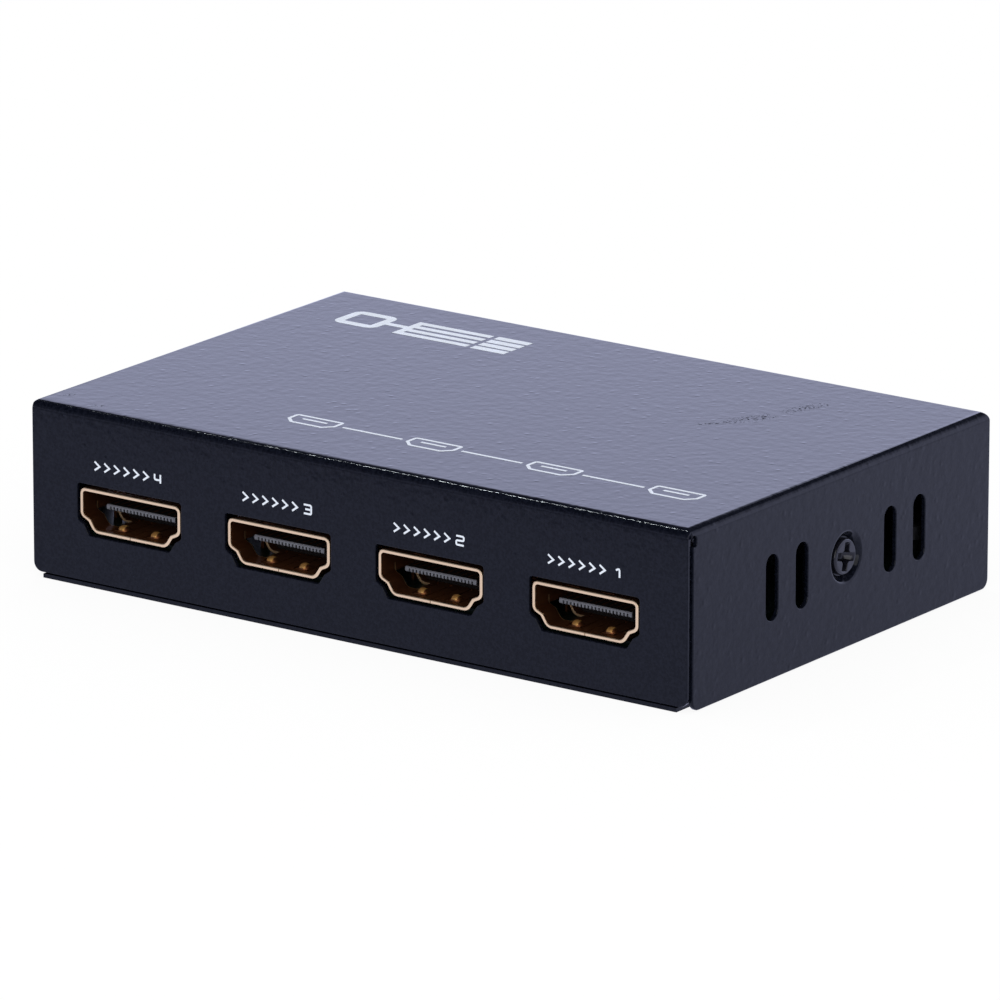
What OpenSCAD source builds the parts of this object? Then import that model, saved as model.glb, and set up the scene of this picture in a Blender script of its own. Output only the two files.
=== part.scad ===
// Four-way video splitter in a folded sheet-steel case.
// Millimetres, +Z up. The origin is the middle of the underside, and the outputs face -Y.

/* [Case] */
// Overall width
case_w = 95.5; // [92:0.5:130]
// Overall depth, from the output panel to the input panel
case_d = 62.5; // [56:0.5:90]
// Overall height
case_h = 21.9; // [20:0.1:40]
// Sheet thickness of the cover
cover_t = 0.6; // [0.5:0.05:0.9]
// Outside radius of the cover's bends
bend_r = 1.2; // [1:0.1:2.5]
// Distance of the output panel's upright edges from the side faces
panel_inset = 0.3; // [0.1:0.05:0.4]
// Gap between a panel and the one next to it
corner_gap = 0.15; // [0.1:0.05:0.6]
// Radius of the relief slot at the top of a gap beside the output panel
relief_r = 0.4; // [0.2:0.05:0.5]
// Height of that slot
relief_h = 1.3; // [1:0.1:1.6]
// Radius of the panels' lower corners
panel_corner_r = 1.2; // [0.4:0.1:3]
// Height of the side panels' lower edges above the underside
side_lift = 0.1; // [0:0.05:0.5]
// Gap between the tray and the lower edge of an end panel
tray_gap = 0.15; // [0.1:0.05:0.5]

/* [Vents and side screws] */
// Width of a vent slot
vent_w = 2.5; // [1.5:0.1:3.5]
// Height of a vent slot
vent_h = 8; // [5:0.5:11]
// Distance from a side screw to the nearer slot
vent_first = 9.2; // [8:0.1:11]
// Distance between the two slots of a pair
vent_pitch = 6.15; // [4:0.05:8]
// Height of the side screws above the underside
side_screw_z = 11.15; // [10:0.05:14]
// Distance of the side screws behind the middle of the case
side_screw_y = 0.85; // [-4:0.05:4]
// Radius of the pressed cup round a side screw, within its lip
cup_r = 3.1; // [3:0.05:3.6]
// Radius of the cup's soft lip
lip_r = 0.5; // [0.1:0.1:0.8]
// Radius of the cup's flat floor
cup_floor_r = 2.4; // [2.35:0.05:2.6]
// Depth of the cup
cup_depth = 1; // [0.8:0.05:1.4]
// Radius of a side screw's head
side_head_r = 2.2; // [2.1:0.05:2.25]
// Distance of a side screw's head behind the side face
side_head_recess = 0.05; // [0:0.05:0.2]
// Length of a side screw below its head
side_screw_l = 5; // [4:0.5:6]
// Width of the screws' cross recesses
cross_w = 3.6; // [3:0.1:3.6]
// Width of a cross recess's arms
cross_arm = 1; // [0.7:0.05:1.1]
// Depth of the cross recesses
cross_depth = 1.2; // [0.9:0.1:1.2]
// Turn of the side screws' cross recesses
cross_turn = 12; // [0:1:45]

/* [Base tray] */
// Sheet thickness of the tray
tray_t = 0.5; // [0.4:0.05:0.8]
// Outside radius of the tray's bends
tray_bend_r = 0.9; // [0.85:0.05:1.5]
// Height of the tray's side flanges
flange_h = 4; // [3:0.5:6]
// Distance of the flanges' ends from the end faces
flange_end = 2; // [1.5:0.1:6]
// Distance of the floor's ends inside the flanges
floor_inset = 0.15; // [0.05:0.05:0.6]
// Width of the tab that takes a side screw
tab_w = 12; // [8:0.5:13]
// Radius of the tab's upper corners
tab_corner_r = 2; // [0.5:0.5:3]
// Height of the tab above its screw
tab_above = 4; // [3:0.5:5]
// Length of the drawn collar round the tab's screw hole
collar_l = 1.2; // [0.5:0.1:2]
// Wall of that collar
collar_t = 0.6; // [0.4:0.1:1]

/* [Circuit board] */
// Thickness of the board
board_t = 1.6; // [1.2:0.1:2]
// Gap between the board and the tray's flanges
board_side_gap = 0.5; // [0.3:0.1:1]
// Gap between the board and the end panels
board_end_gap = 0.5; // [0.3:0.05:0.9]
// Height of the standoffs under the board
standoff_h = 4.8; // [4:0.1:7]
// Width of a standoff across its flats
standoff_w = 5; // [4.5:0.1:6]
// Radius of the spigot that holds a standoff in the tray
spigot_r = 1.95; // [1.8:0.05:2.1]
// Distance of the board screws from the board's sides and rear edge
board_screw_inset = 4.5; // [4:0.1:7]
// Radius of the screws' shanks
screw_r = 1.45; // [1.35:0.05:1.5]
// Radius of a board screw's head
board_head_r = 2.75; // [2.3:0.05:3]
// Thickness of a board screw's head
board_head_t = 1.9; // [1.4:0.1:2.2]
// Length of a board screw below its head
board_screw_l = 5; // [4:0.5:6]

/* [Video sockets] */
// Distance of the outer outputs from the sides of the case
socket_margin = 14.75; // [12:0.25:18]
// Width of the mouth
mouth_w = 14.1; // [13.5:0.1:15]
// Height of the mouth
mouth_h = 4.55; // [4.3:0.05:5.2]
// Width of the mouth's flat lower edge
mouth_flat = 10.4; // [9:0.1:10.5]
// Width of the mouth between its lower shoulders
shoulder_w = 12; // [11.5:0.1:12.6]
// Distance of the shoulders below the middle of the mouth
shoulder_drop = 1.05; // [0.8:0.05:1.4]
// Rise of the ledges from the shoulders to the straight sides
ledge_rise = 0.5; // [0.1:0.05:0.8]
// Thickness of the shell's sheet
shell_t = 0.3; // [0.2:0.05:0.4]
// Length of the shell behind its rim
shell_l = 11.4; // [11:0.1:13]
// Thickness of the rolled rim
rim_t = 0.45; // [0.4:0.05:0.6]
// Length of the rolled rim
rim_l = 0.6; // [0.4:0.05:0.7]
// Distance of the rim behind the panel's face
rim_recess = 0.2; // [0.05:0.05:0.25]
// Gap of the butt seam under the shell
seam_gap = 0.08; // [0.04:0.02:0.2]
// Width of the tongue
tongue_w = 10.2; // [10:0.1:11]
// Thickness of the tongue
tongue_t = 0.65; // [0.6:0.05:1.2]
// Distance of the tongue's tip behind the rim
tongue_tip = 2.1; // [1.6:0.1:2.6]
// Distance of the tongue above the middle of the mouth
tongue_rise = 0.15; // [0:0.05:0.5]
// Distance of the insulator's block behind the rim
block_front = 6.6; // [6.4:0.1:7]
// Pitch of the contacts, counted over both faces of the tongue
contact_pitch = 0.5; // [0.46:0.01:0.52]
// Width of a contact
contact_w = 0.3; // [0.2:0.02:0.36]
// Thickness of a contact
contact_t = 0.15; // [0.1:0.01:0.2]
// Distance of a spring's contact dome from the middle of the shell
spring_x = 2.4; // [2:0.1:2.8]
// Width of a spring
spring_w = 1.7; // [1.4:0.1:1.8]
// Height of a contact dome inside the shell
dome_h = 0.6; // [0.3:0.05:0.7]

/* [Panel cut-outs] */
// Gap beside a socket's rim
cut_side = 0.25; // [0.1:0.05:0.3]
// Gap above a socket's rim
cut_above = 0.5; // [0.1:0.05:0.6]
// Gap below a socket's rim
cut_below = 0.35; // [0.1:0.05:0.4]
// Gap beside the slanted lower edges of a socket's rim
cut_slant = 0.55; // [0.3:0.05:0.9]
// Radius of the cut-outs' corners
cut_r = 0.4; // [0.1:0.05:0.6]

/* [Power inlet and lamp] */
// Distance of the power jack's axis from the side of the case
jack_side = 20.75; // [17:0.25:22]
// Width of the jack
jack_w = 9; // [8.6:0.1:10]
// Height of the jack's axis above the board
jack_axis = 6.5; // [6:0.1:7]
// Height of the jack above its axis
jack_above = 4.3; // [4:0.1:5]
// Length of the jack
jack_l = 14; // [13:0.5:15]
// Length of the jack's square front
jack_front_l = 3.4; // [2.5:0.1:5]
// Radius of the jack's bore
jack_bore_r = 3.2; // [3:0.05:3.4]
// Thickness of the wall behind the bore
jack_back_t = 3; // [2:0.5:4]
// Radius of the jack's centre pin
jack_pin_r = 1; // [0.8:0.05:1.25]
// Distance of the pin's tip behind the jack's front
jack_pin_tip = 1; // [0.5:0.1:2]
// Radius of the pin's root in the wall behind the bore
jack_root_r = 1.4; // [1.3:0.05:1.8]
// Radius of the hole in the panel for the plug
jack_hole_r = 3.9; // [3.6:0.1:4.2]
// Gap between the jack and the panel
jack_gap = 0.1; // [0.05:0.05:0.3]
// Distance between the lamp and the power jack
led_pitch = 12; // [9:0.5:13]
// Radius of the lamp
led_r = 1.5; // [1.2:0.1:1.6]
// Height of the lamp above the board
led_axis = 3.2; // [2.6:0.1:5]
// Length of the lamp
led_l = 5.3; // [4.5:0.1:6]
// Gap round the lamp in the panel
led_gap = 0.15; // [0.1:0.05:0.3]
// Thickness of the lamp's leads
led_lead_t = 0.5; // [0.4:0.05:0.6]

/* [Board parts] */
// Width of the splitter chip
chip_w = 14; // [12:0.5:16]
// Leads on each side of the splitter chip
chip_leads = 16; // [8:2:18]
// Pitch of the splitter chip's leads
chip_pitch = 0.8; // [0.6:0.05:0.8]
// Thickness of the chips' bodies
chip_t = 1.4; // [1:0.1:2]
// Gap between the chips' bodies and the board
chip_lift = 0.1; // [0.05:0.05:0.2]
// Radius of a filter capacitor's can
can_r = 3.15; // [2.5:0.05:3.5]
// Height of a filter capacitor
can_h = 7.7; // [5:0.1:10]
// Width of the inductor
inductor_w = 7; // [5:0.5:8]
// Height of the inductor
inductor_h = 4; // [3:0.5:5]

/* [Hidden] */
$fn = 48;

// Reach of a cutting shape past the faces that it cuts
over = 1;
// Gap round what passes through a drilled hole
hole_gap = 0.05;
// Gap round a side screw in the floor of its cup
cup_hole_gap = 0.15;
// Gap round what passes through a hole in the board
board_hole_gap = 0.15;
// Gap round the insulator's block in its shell
block_gap = 0.04;
// Reach of solder legs below the board
leg_reach = 0.6;
// Steps in the rounding of an outline's corner
corner_steps = 6;

black_paint = "#1c1d24";
steel = "#8d9096";
gold = "#d8b878";
resin = "#26262a";
board_green = "#1f5a3a";
brass = "#b99a54";

panel_lift = tray_t + tray_gap;
inside_w = case_w - 2 * cover_t;
inside_d = case_d - 2 * cover_t;
inside_h = case_h - cover_t;
output_panel_w = case_w - 2 * panel_inset;
input_panel_w = inside_w - 2 * corner_gap;
side_front = corner_gap - inside_d / 2;
slit_drop = 0.3;
slit_top = case_h - bend_r - slit_drop;
side_head_t = cup_depth - side_head_recess;
cross_tip_r = 0.9;
cross_core = 1.8;
head_chamfer = 0.25;

tray_inset = cover_t + cup_depth;
tray_half = case_w / 2 - tray_inset;
tab_top = side_screw_z + tab_above;

board_w = 2 * (tray_half - tray_t - board_side_gap);
board_d = case_d - 2 * (cover_t + board_end_gap);
board_z = tray_t + standoff_h;
board_top = board_z + board_t;
legs_end = board_z - leg_reach;

socket_z = board_top + shell_t + mouth_h / 2;
rim_y = case_d / 2 - rim_recess;
socket_l = rim_l + shell_l;
floor_z = -mouth_h / 2 - shell_t;
tail_gap = 0.4;
tail_step = 0.8;
lower_tail = socket_l + tail_gap;
upper_tail = lower_tail + tail_step;
tail_foot = 0.7;
contact_count = 19;
contact_last = (contact_count - 1) / 2;
contact_back = 0.7;
contact_tip = tongue_tip + contact_back;
tongue_chamfer = 0.12;
tooth_depth = 0.5;
tooth_gap = contact_pitch / 2;
tooth_h = 0.65 * tongue_t;
socket_back = upper_tail + tail_foot;
spring_front = 1.2;
spring_back = 6.2;
spring_slot = 0.2;
dome_r = 0.8;
window_wall = 0.5;
window_x = spring_x + spring_w / 2 + spring_slot + window_wall;
window_front = 2.8;
window_l = 2.7;
shell_legs = [6.4, 10.2];
leg_w = 1.2;
output_pitch = (case_w - 2 * socket_margin) / 3;
output_xs = [for (i = [0:3]) case_w / 2 - socket_margin - i * output_pitch];

jack_x = case_w / 2 - jack_side;
jack_y = case_d / 2 - cover_t - jack_gap;
jack_z = board_top + jack_axis;
jack_step = 0.2;
jack_barrel_r = jack_above - jack_step;
jack_bore_l = jack_l - jack_back_t;
jack_nose = jack_pin_r / 2;
jack_leaf_t = 0.35;
jack_leaf_w = 2.2;
jack_leaf_gap = 0.2;
jack_leaf_tip = 2;
jack_leaf_crest = 4;
jack_leaf_end = 1.3;
jack_leaf_back = jack_bore_l - jack_leaf_end;
jack_leaf_rise = 0.3;
jack_leaf_drop = 0.9;
jack_tab_t = 0.4;
led_recess = 0.1;
led_x = jack_x - led_pitch;
led_y = case_d / 2 - led_recess;
led_z = board_top + led_axis;
led_flange_t = 1;
led_flange_w = 0.4;
led_lead_pitch = 2.54;
led_lead_back = 1.2;

dot_r = 0.3;
dot_depth = 0.1;
dot_edge = 0.9;
lead_t = 0.2;
lead_reach = 1.2;
part_gap = 1.3;
array_size = [2.5, 1, 0.55];
array_y = rim_y - socket_back - part_gap;
chip_cap_size = [1.6, 0.8, 0.8];
chip_cap_pitch = 3.5;
splitter_size = [chip_w, chip_w, chip_t];
chip_edge = chip_w / 2 + lead_reach;
crystal_size = [4.6, 11, 3.6];
crystal_x = -chip_edge - part_gap - crystal_size.x / 2;
memory_size = [3.9, 4.9, chip_t];
memory_lead_count = 4;
memory_pitch = 1.27;
memory_lead_w = 0.4;
memory_x = crystal_x - crystal_size.x / 2 - part_gap - lead_reach - memory_size.x / 2;
inductor_x = chip_edge + part_gap + inductor_w / 2;
inductor_corner_r = 1.4;
regulator_size = [6.5, 3.5, 1.6];
regulator_lead_count = 3;
regulator_pitch = 2.3;
regulator_lead_w = 0.7;
regulator_tab_w = 3;
regulator_x = inductor_x + inductor_w / 2 + part_gap + regulator_size.x / 2;
regulator_half = regulator_size.y / 2 + lead_reach;
regulator_ys = [for (k = [0, 1]) inductor_w / 2 - regulator_half - k * (2 * regulator_half + part_gap)];
can_y = inductor_w / 2 + part_gap + can_r;
can_pitch = 2 * can_r + part_gap;
can_base_t = 0.6;
can_xs = [for (k = [0:2]) chip_edge + part_gap + can_r + k * can_pitch];

board_screw_x = board_w / 2 - board_screw_inset;
board_screw_ys = [
    array_size.y / 2 + part_gap + board_head_r - array_y,
    board_d / 2 - board_screw_inset
];
board_screw_places = [for (x = [-1, 1], y = board_screw_ys) [x * board_screw_x, y]];

// Outline helpers: corner points run anticlockwise

// Outward unit normal of the edge from a to b
function normal(a, b) = [b.y - a.y, a.x - b.x] / norm(b - a);

// Neighbours of corner i
function before(pts, i) = pts[(i + len(pts) - 1) % len(pts)];
function after(pts, i) = pts[(i + 1) % len(pts)];

// 1 at an outward corner, -1 at an inward one
function turn(pts, i) = sign(cross(pts[i] - before(pts, i), after(pts, i) - pts[i]));

// Corners moved out by g, square to both their edges
function grown(pts, g) = [
    for (i = [0:len(pts) - 1])
        let (m = normal(before(pts, i), pts[i]), n = normal(pts[i], after(pts, i)))
            pts[i] + g * (m + n) / (1 + m * n)
];

// Points of the arc of radius r that rounds the corner p between a and b
function corner_arc(a, p, b, r) =
    let (
        m = normal(a, p),
        n = normal(p, b),
        side = sign(cross(p - a, b - p)),
        centre = p - side * r * (m + n) / (1 + m * n),
        from = atan2(side * m.y, side * m.x),
        swing = side * acos(m * n)
    )
    r == 0 ? [p] :
    [
        for (k = [0:corner_steps])
            let (a = from + swing * k / corner_steps)
                centre + r * [cos(a), sin(a)]
    ];

// Corners pts, each rounded by its own radius
function rounded(pts, radii) = [
    for (i = [0:len(pts) - 1]) each corner_arc(before(pts, i), pts[i], after(pts, i), radii[i])
];

// Right half of an outline, from its foot to its top, with its mirror image
function both_halves(half) = concat(half, [for (i = [len(half) - 1:-1:0]) [-half[i].x, half[i].y]]);

// Mouth of a socket: flat foot, slanted sides, ledges and straight flanks
mouth = both_halves([
    [mouth_flat / 2, -mouth_h / 2],
    [shoulder_w / 2, -shoulder_drop],
    [mouth_w / 2, ledge_rise - shoulder_drop],
    [mouth_w / 2, mouth_h / 2]
]);
foot_r = 0.9;
shoulder_r = 0.6;
flank_r = 0.5;
top_r = 0.4;
mouth_radii = [foot_r, shoulder_r, flank_r, top_r, top_r, flank_r, shoulder_r, foot_r];

// Mouth outline grown by g, with concentric corners
function mouth_outline(g) =
    rounded(grown(mouth, g), [for (i = [0:len(mouth) - 1]) max(0, mouth_radii[i] + g * turn(mouth, i))]);

// Panel cut-out that clears the rim
rim = grown(mouth, rim_t);
cut_out = both_halves([
    [rim[0].x + cut_slant, rim[0].y - cut_below],
    [rim[1].x + cut_slant, rim[1].y - cut_below],
    [rim[2].x + cut_side, rim[2].y - cut_below],
    [rim[3].x + cut_side, rim[3].y + cut_above]
]);

// Placing helpers

module both_sides() {
    children();
    mirror([1, 0, 0]) children();
}

// Extrudes an upright outline back from the plane y = 0
module upright(length) {
    translate([0, length, 0])
        rotate([90, 0, 0])
            linear_extrude(length)
                children();
}

// Extrudes a side view, drawn in y and z, over a width centred on x = 0
module side_view(width) {
    rotate([90, 0, 90])
        linear_extrude(width, center = true)
            children();
}

module at_output(i) {
    translate([output_xs[i - 1], -rim_y, socket_z]) children();
}

module at_input() {
    translate([0, rim_y, socket_z]) rotate(180) children();
}

module at_jack() {
    translate([jack_x, jack_y, jack_z]) rotate(180) children();
}

module at_led() {
    translate([led_x, led_y, led_z]) rotate(180) children();
}

module at_side_screw() {
    both_sides()
        translate([case_w / 2, side_screw_y, side_screw_z])
            rotate([0, -90, 0])
                children();
}

// Case

// Rectangle standing on y = 0 with its upper corners rounded
module arch(w, h, r) {
    translate([-w / 2, 0]) square([w, h - r]);
    translate([r - w / 2, 0]) square([w - 2 * r, h]);
    for (x = [-1, 1])
        translate([x * (w / 2 - r), h - r])
            circle(r);
}

// Block whose four upper edges are bends of radius r
module bent_block(w, d, h, r) {
    intersection() {
        upright_middle(d + over) arch(w, h, r);
        side_view(w + over) arch(d, h, r);
    }
}

module upright_middle(length) {
    translate([0, -length / 2, 0]) upright(length) children();
}

// Waste below a panel that hangs from a to b, and within reach beside it up to a height
module panel_waste(a, b, reach, lift, top) {
    difference() {
        translate([a - reach, -over]) square([b - a + 2 * reach, top + over]);
        polygon(rounded(
            [[a, lift], [b, lift], [b, case_h + over], [a, case_h + over]],
            [panel_corner_r, panel_corner_r, 0, 0]));
    }
}

// Upright slot with round ends
module slot(w, h) {
    square([w, h - w], center = true);
    for (z = [-1, 1])
        translate([0, z * (h - w) / 2])
            circle(w / 2);
}

// Slot right through both side panels
module side_slot(y, z, w, h) {
    both_sides()
        translate([case_w / 2, y, z])
            side_view(2 * cover_t + over)
                slot(w, h);
}

// What is cut away round the four hanging panels: the output panel covers the sides' front edges,
// and the input panel stands between the sides
module panel_gaps() {
    translate([0, -case_d / 2 - over, 0])
        upright(cover_t + over)
            panel_waste(-output_panel_w / 2, output_panel_w / 2, panel_inset + over, panel_lift, case_h);
    translate([0, inside_d / 2, 0])
        upright(cover_t + over)
            panel_waste(-input_panel_w / 2, input_panel_w / 2, corner_gap, panel_lift, slit_top);
    both_sides()
        translate([inside_w / 2 + (cover_t + over) / 2, 0, 0])
            side_view(cover_t + over)
                panel_waste(side_front, case_d / 2, corner_gap, side_lift, slit_top);
}

module top_cover() {
    color(black_paint)
    difference() {
        union() {
            difference() {
                bent_block(case_w, case_d, case_h, bend_r);
                translate([0, 0, -over])
                    bent_block(inside_w, inside_d, inside_h + over, bend_r - cover_t);
            }
            at_side_screw() translate([0, 0, cover_t]) cup(cover_t / 2);
        }
        panel_gaps();
        side_slot(relief_r - inside_d / 2, slit_top, 2 * relief_r, relief_h);
        for (y = [-1, 1], k = [0, 1])
            side_slot(side_screw_y + y * (vent_first + k * vent_pitch), side_screw_z, vent_w, vent_h);
        at_side_screw() {
            cup(over);
            cylinder(h = tray_inset + over, r = screw_r + cup_hole_gap);
        }
        for (i = [1:4]) at_output(i) socket_cut_out();
        at_input() socket_cut_out();
        at_jack() translate([0, -cover_t - over, 0]) upright(cover_t + over) circle(jack_hole_r);
        at_led() translate([0, -over, 0]) upright(cover_t + 2 * over) circle(led_r + led_gap);
    }
}

// Space inside a pressed cup, from its floor to a distance outside its lip
module cup(reach) {
    wide = cup_r + lip_r;
    rotate_extrude()
        polygon(rounded(
            [[0, cup_depth], [0, -reach], [wide, -reach], [wide, 0], [cup_r, 0], [cup_floor_r, cup_depth]],
            [0, 0, 0, 0, lip_r, 0]));
}

module socket_cut_out() {
    translate([0, -rim_recess - over, 0])
        upright(cover_t + 2 * over)
            polygon(rounded(cut_out, [for (p = cut_out) cut_r]));
}

module base_tray() {
    color(black_paint)
    difference() {
        union() {
            translate([floor_inset - tray_half, -case_d / 2, 0])
                cube([2 * (tray_half - floor_inset), case_d, tray_t]);
            upright_middle(case_d - 2 * flange_end)
                difference() {
                    trough(2 * tray_half, 0, tab_top, tray_bend_r);
                    trough(2 * (tray_half - tray_t), tray_t, tab_top + over, tray_bend_r - tray_t);
                }
            at_tab() cylinder(h = collar_l + tray_t, r = screw_r + hole_gap + collar_t);
        }
        both_sides()
            translate([tray_half - tray_t / 2, 0, 0])
                side_view(2 * tray_bend_r + over)
                    flange_waste();
        at_tab()
            translate([0, 0, -over])
                cylinder(h = collar_l + tray_t + 2 * over, r = screw_r + hole_gap);
        for (p = board_screw_places)
            translate([p.x, p.y, -over])
                cylinder(h = tray_t + 2 * over, r = spigot_r + hole_gap);
    }
}

// Axis of a tab's screw hole, from the tab's outer face
module at_tab() {
    at_side_screw() translate([0, 0, tray_inset]) children();
}

// Rectangle from y = foot to y = top with its lower corners rounded
module trough(w, foot, top, r) {
    translate([0, top])
        mirror([0, 1])
            arch(w, top - foot, r);
}

// What is cut away above the low flanges, either side of the screw's tab
module flange_waste() {
    difference() {
        translate([-case_d / 2, flange_h]) square([case_d, case_h]);
        polygon(rounded(
            [
                [side_screw_y - tab_w / 2, 0],
                [side_screw_y + tab_w / 2, 0],
                [side_screw_y + tab_w / 2, tab_top],
                [side_screw_y - tab_w / 2, tab_top]
            ],
            [0, 0, tab_corner_r, tab_corner_r]));
    }
}

// Cross recess that narrows to its tip, cut down from z = 0
module cross_recess() {
    height = cross_depth + over;
    flare = (cross_w / 2 - cross_tip_r) / cross_depth;
    translate([0, 0, -cross_depth])
        intersection() {
            linear_extrude(height) {
                for (a = [0, 90])
                    rotate(a)
                        square([cross_w + 2 * over, cross_arm], center = true);
                rotate(45) square(cross_core, center = true);
            }
            cylinder(h = height, r1 = cross_tip_r, r2 = cross_tip_r + flare * height);
        }
}

// Screw hanging from the plane z = 0 under its head
module screw(head_r, head_t, length) {
    edge = head_t - head_chamfer;
    difference() {
        union() {
            cylinder(h = edge, r = head_r);
            translate([0, 0, edge]) cylinder(h = head_chamfer, r1 = head_r, r2 = head_r - head_chamfer);
            translate([0, 0, -length]) cylinder(h = length, r = screw_r);
        }
        translate([0, 0, head_t]) cross_recess();
    }
}

module side_screws() {
    color(black_paint)
        at_side_screw()
            translate([0, 0, cup_depth])
                mirror([0, 0, 1])
                    rotate(cross_turn)
                        screw(side_head_r, side_head_t, side_screw_l);
}

// Board and its fixings

module circuit_board() {
    color(board_green)
    difference() {
        translate([-board_w / 2, -board_d / 2, board_z]) cube([board_w, board_d, board_t]);
        for (p = board_screw_places)
            translate([p.x, p.y, board_z - over])
                cylinder(h = board_t + 2 * over, r = screw_r + board_hole_gap);
        for (i = [1:4]) at_output(i) shell_leg_places() leg_slot([shell_t, leg_w]);
        at_input() shell_leg_places() leg_slot([shell_t, leg_w]);
        at_jack() {
            translate([0, jack_l + jack_tab_t / 2, 0]) leg_slot([2 * jack_pin_r, jack_tab_t]);
            translate([0, jack_leaf_back - jack_leaf_t / 2, 0]) leg_slot([jack_leaf_w, jack_leaf_t]);
        }
        at_led()
            for (x = [-1, 1])
                translate([x * led_lead_pitch / 2, led_l + led_lead_back - led_lead_t / 2, 0])
                    leg_slot([led_lead_t, led_lead_t]);
    }
}

// Hole right through the board for a leg of the given section
module leg_slot(size) {
    translate([0, 0, -case_h])
        linear_extrude(case_h)
            square([for (s = size) s + 2 * board_hole_gap], center = true);
}

module board_standoffs() {
    color(brass)
        for (p = board_screw_places)
            translate([p.x, p.y, 0])
                difference() {
                    union() {
                        translate([0, 0, tray_t])
                            cylinder(h = standoff_h, r = standoff_w / 2 / cos(30), $fn = 6);
                        cylinder(h = tray_t, r = spigot_r);
                    }
                    translate([0, 0, -over]) cylinder(h = board_top + over, r = screw_r + hole_gap);
                }
}

module board_screws() {
    color(steel)
        for (p = board_screw_places)
            translate([p.x, p.y, board_top])
                screw(board_head_r, board_head_t, board_screw_l);
}

// Video sockets: mouth at y = 0, its middle at z = 0, the socket behind it

// Centres of the shell's solder legs
module shell_leg_places() {
    both_sides()
        for (y = shell_legs)
            translate([mouth_w / 2 + shell_t / 2, y + leg_w / 2, 0])
                children();
}

module socket_shell() {
    color(gold) {
        difference() {
            union() {
                upright(rim_l) polygon(mouth_outline(rim_t));
                upright(socket_l) polygon(mouth_outline(shell_t));
                shell_leg_places()
                    translate([-shell_t / 2, -leg_w / 2, legs_end - socket_z])
                        cube([shell_t, leg_w, socket_z - legs_end]);
            }
            translate([0, -over, 0]) upright(socket_l + 2 * over) polygon(mouth_outline(0));
            translate([-seam_gap / 2, -over, 2 * floor_z])
                cube([seam_gap, socket_l + 2 * over, -2 * floor_z]);
            for (z = [0, 1]) mirror([0, 0, z]) both_sides() spring_cut();
            both_sides()
                translate([window_x, window_front, floor_z - over])
                    cube([mouth_w, window_l, ledge_rise - shoulder_drop - floor_z + over]);
        }
        for (z = [0, 1]) mirror([0, 0, z]) both_sides() contact_dome();
    }
}

// Slot round three sides of a spring in the shell's floor
module spring_cut() {
    translate([spring_x, 0, floor_z - over])
        linear_extrude(shell_t + over + dome_h / 2)
            difference() {
                translate([-spring_w / 2 - spring_slot, spring_front - spring_slot])
                    square([spring_w + 2 * spring_slot, spring_back - spring_front + spring_slot]);
                translate([-spring_w / 2, spring_front]) square([spring_w, spring_back]);
            }
}

// Dome pressed up into the shell near a spring's free end
module contact_dome() {
    intersection() {
        translate([spring_x, spring_front + dome_r, dome_h - mouth_h / 2 - dome_r]) sphere(dome_r);
        translate([spring_x - dome_r, spring_front, -mouth_h / 2 - shell_t / 2])
            cube([2 * dome_r, 2 * dome_r, mouth_h / 2]);
    }
}

// Side view of one contact: along the tongue at height z, down behind the block, foot on the board
module contact_strip(x, z, tail) {
    translate([x, 0, 0])
        side_view(contact_w)
            polygon([
                [contact_tip, z - contact_t],
                [tail - contact_t, z - contact_t],
                [tail - contact_t, floor_z],
                [tail + tail_foot, floor_z],
                [tail + tail_foot, floor_z + contact_t],
                [tail, floor_z + contact_t],
                [tail, z],
                [contact_tip, z]
            ]);
}

// Contacts by turns on the tongue's upper and lower face
module socket_contacts() {
    upper = tongue_rise + tongue_t / 2;
    lower = tongue_rise - tongue_t / 2 + contact_t;
    color(gold) {
        for (i = [-contact_last:2:contact_last])
            contact_strip(i * contact_pitch, upper, upper_tail);
        for (i = [1 - contact_last:2:contact_last - 1])
            contact_strip(i * contact_pitch, lower, lower_tail);
    }
}

// Block at the back of the shell, with the tongue and its comb of teeth
module socket_insulator() {
    low = tongue_rise - tongue_t / 2;
    high = tongue_rise + tongue_t / 2;
    nose = tongue_tip + tongue_chamfer;
    root = block_front + over;
    color(resin)
    difference() {
        union() {
            translate([0, block_front, 0])
                upright(socket_l - block_front)
                    polygon(mouth_outline(-block_gap));
            side_view(tongue_w)
                polygon([
                    [tongue_tip, low + tongue_chamfer],
                    [nose, low],
                    [root, low],
                    [root, high],
                    [nose, high],
                    [tongue_tip, high - tongue_chamfer]
                ]);
        }
        socket_contacts();
        for (i = [-contact_last:contact_last])
            translate([i * contact_pitch - tooth_gap / 2, tongue_tip - over, low - over])
                cube([tooth_gap, over + tooth_depth, over + tooth_h]);
    }
}

// Power jack: mouth at y = 0, its axis along +Y

module power_jack_housing() {
    slot_w = jack_leaf_w + 2 * jack_leaf_gap;
    slot_l = jack_leaf_back + jack_leaf_gap - over;
    slot_h = jack_leaf_drop + jack_leaf_t + jack_leaf_gap + over;
    leg_l = jack_leaf_t + 2 * jack_leaf_gap;
    color(resin)
    at_jack()
    difference() {
        union() {
            translate([-jack_w / 2, 0, -jack_axis]) cube([jack_w, jack_front_l, jack_axis + jack_above]);
            upright(jack_l) circle(jack_barrel_r);
            translate([-jack_barrel_r, 0, -jack_axis]) cube([2 * jack_barrel_r, jack_l, jack_axis]);
        }
        translate([0, -over, 0]) upright(jack_bore_l + over) circle(jack_bore_r);
        upright(jack_l + over) circle(jack_root_r + hole_gap);
        translate([-slot_w / 2, over, -jack_bore_r + over - slot_h]) cube([slot_w, slot_l, slot_h]);
        translate([-slot_w / 2, jack_leaf_back + jack_leaf_gap - leg_l, -jack_axis - over])
            cube([slot_w, leg_l, jack_axis]);
    }
}

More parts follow.
